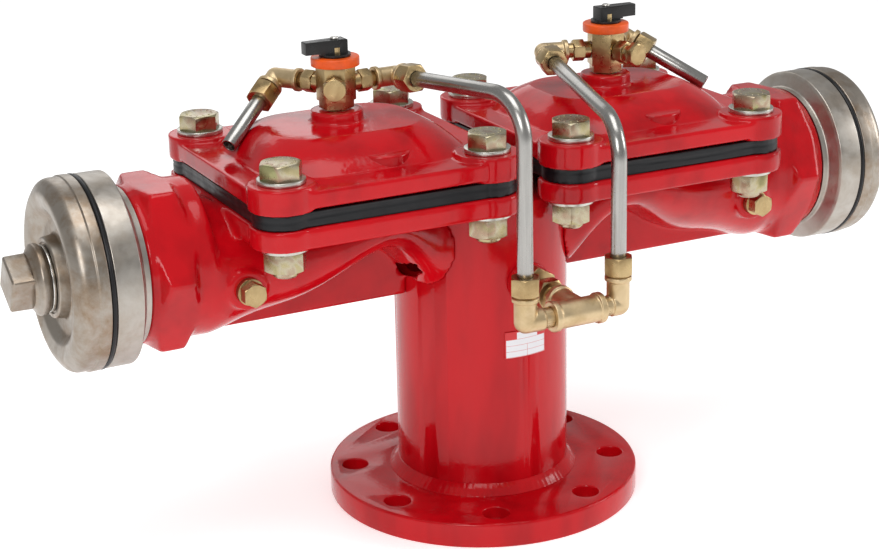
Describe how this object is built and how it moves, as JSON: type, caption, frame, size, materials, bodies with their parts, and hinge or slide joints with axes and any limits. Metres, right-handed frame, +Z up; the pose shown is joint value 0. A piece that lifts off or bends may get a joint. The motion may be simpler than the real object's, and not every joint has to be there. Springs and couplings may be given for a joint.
{
  "type": "hydrant head",
  "caption": "Flanged hydrant head: a riser carrying two diaphragm valves, each with a selector cock and a screwed outlet closed by a blank cap.",
  "frame": {"origin": "centre of the inlet flange, on its lower face", "axes": "+X along the two outlets towards the right one, -Y is the front with the supply tee, +Z up the riser"},
  "size_m": [0.649, 0.2445, 0.3297],
  "materials": {
    "black_plastic": "moulded, satin",
    "brass": "dull machined brass",
    "bright_screw": "plated",
    "copper_washer": "stainless washer",
    "grey_iron": "coated casting",
    "orange_plastic": "moulded, satin",
    "plate": "plain bent sheet",
    "red_cast": "glossy enamel over rough casting",
    "red_steel": "glossy enamel over welded steel",
    "rubber": "matt black moulded rubber",
    "spring_steel": "stainless wire",
    "stainless": "bead-blasted stainless steel",
    "tube_steel": "drawn stainless tube",
    "zinc_bright": "bright zinc plating",
    "zinc_yellow": "yellow zinc plating"
  },
  "bodies": {
    "hydrant": {"bonnet_bolts": "zinc_yellow", "bonnet_left": "red_cast", "bonnet_nuts": "zinc_yellow", "bonnet_right": "red_cast", "bonnet_washers": "zinc_bright", "compression_ferrules": "brass", "compression_nuts": "brass", "control_elbow_left": "brass", "control_elbow_right": "brass", "control_tube_left": "tube_steel", "control_tube_right": "tube_steel", "diaphragm_rim_left": "rubber", "diaphragm_rim_right": "rubber", "drain_plugs": "brass", "exhaust_elbow_left": "brass", "exhaust_elbow_right": "brass", "exhaust_tube_left": "tube_steel", "exhaust_tube_right": "tube_steel", "flange_weld": "red_steel", "inlet_flange": "red_steel", "name_plate": "plate", "outlet_adapter_left": "stainless", "outlet_adapter_right": "stainless", "port_nipples_left": "brass", "port_nipples_right": "brass", "port_plug_left": "brass", "port_plug_right": "brass", "riser_end_plate": "red_steel", "riser_pipe": "red_steel", "selector_body_left": "brass", "selector_body_right": "brass", "selector_ring_left": "orange_plastic", "selector_ring_right": "orange_plastic", "supply_elbow_left": "brass", "supply_elbow_right": "brass", "supply_nipple": "brass", "supply_tee": "brass", "tapping_boss": "red_steel", "valve_body_left": "red_cast", "valve_body_right": "red_cast"},
    "lever_left": {"selector_knob_left": "black_plastic", "knob_screw_left": "bright_screw", "selector_rotor_left": "brass"},
    "lift_plate_left": {"diaphragm_plate_left": "grey_iron", "diaphragm_left": "rubber", "closing_spring_left": "spring_steel"},
    "seal_left": {"outlet_seal_left": "rubber"},
    "cap_left": {"outlet_cap_left": "stainless"},
    "plug_washer_left": {"plug_washer_left": "copper_washer"},
    "plug_left": {"cap_plug_left": "stainless"},
    "lever_right": {"selector_knob_right": "black_plastic", "knob_screw_right": "bright_screw", "selector_rotor_right": "brass"},
    "lift_plate_right": {"diaphragm_plate_right": "grey_iron", "diaphragm_right": "rubber", "closing_spring_right": "spring_steel"},
    "seal_right": {"outlet_seal_right": "rubber"},
    "cap_right": {"outlet_cap_right": "stainless"},
    "plug_washer_right": {"plug_washer_right": "copper_washer"},
    "plug_right": {"cap_plug_right": "stainless"}
  },
  "joints": [
    {"name": "lever_turn_left", "type": "hinge", "parent": "hydrant", "child": "lever_left", "pos_m": [-0.102, 0, 0.3], "axis": [0, 0, 1], "range_deg": [0, 180]},
    {"name": "diaphragm_lift_left", "type": "slide", "parent": "hydrant", "child": "lift_plate_left", "axis": [0, 0, 1], "range_m": [0, 0.02], "stiffness_N_per_m": 1500, "springref_m": -0.008, "deforming": ["diaphragm_left", "closing_spring_left"]},
    {"name": "cap_travel_left", "type": "slide", "parent": "hydrant", "child": "seal_left", "axis": [-1, 0, 0], "range_m": [0, 0.0161]},
    {"name": "cap_turn_left", "type": "hinge", "parent": "seal_left", "child": "cap_left", "pos_m": [-0.28, 0, 0.202], "axis": [-1, 0, 0], "range_deg": [0, 1440]},
    {"name": "plug_travel_left", "type": "slide", "parent": "cap_left", "child": "plug_washer_left", "axis": [-1, 0, 0], "range_m": [0, 0.0128]},
    {"name": "plug_turn_left", "type": "hinge", "parent": "plug_washer_left", "child": "plug_left", "pos_m": [-0.3, 0, 0.202], "axis": [-1, 0, 0], "range_deg": [0, 1980]},
    {"name": "lever_turn_right", "type": "hinge", "parent": "hydrant", "child": "lever_right", "pos_m": [0.0988, 0, 0.3], "axis": [0, 0, 1], "range_deg": [-180, 0]},
    {"name": "diaphragm_lift_right", "type": "slide", "parent": "hydrant", "child": "lift_plate_right", "axis": [0, 0, 1], "range_m": [0, 0.02], "stiffness_N_per_m": 1500, "springref_m": -0.008, "deforming": ["diaphragm_right", "closing_spring_right"]},
    {"name": "cap_travel_right", "type": "slide", "parent": "hydrant", "child": "seal_right", "axis": [1, 0, 0], "range_m": [0, 0.0161]},
    {"name": "cap_turn_right", "type": "hinge", "parent": "seal_right", "child": "cap_right", "pos_m": [0.28, 0, 0.202], "axis": [1, 0, 0], "range_deg": [0, 1440]},
    {"name": "plug_travel_right", "type": "slide", "parent": "cap_right", "child": "plug_washer_right", "axis": [1, 0, 0], "range_m": [0, 0.0128]},
    {"name": "plug_turn_right", "type": "hinge", "parent": "plug_washer_right", "child": "plug_right", "pos_m": [0.3, 0, 0.202], "axis": [1, 0, 0], "range_deg": [0, 1980]}
  ],
  "couplings": [
    {"joint": "cap_travel_left", "follows": "cap_turn_left", "m_per_rad": 0.00063662},
    {"joint": "plug_travel_left", "follows": "plug_turn_left", "m_per_rad": 0.00036749},
    {"joint": "cap_travel_right", "follows": "cap_turn_right", "m_per_rad": 0.00063662},
    {"joint": "plug_travel_right", "follows": "plug_turn_right", "m_per_rad": 0.00036749}
  ]
}
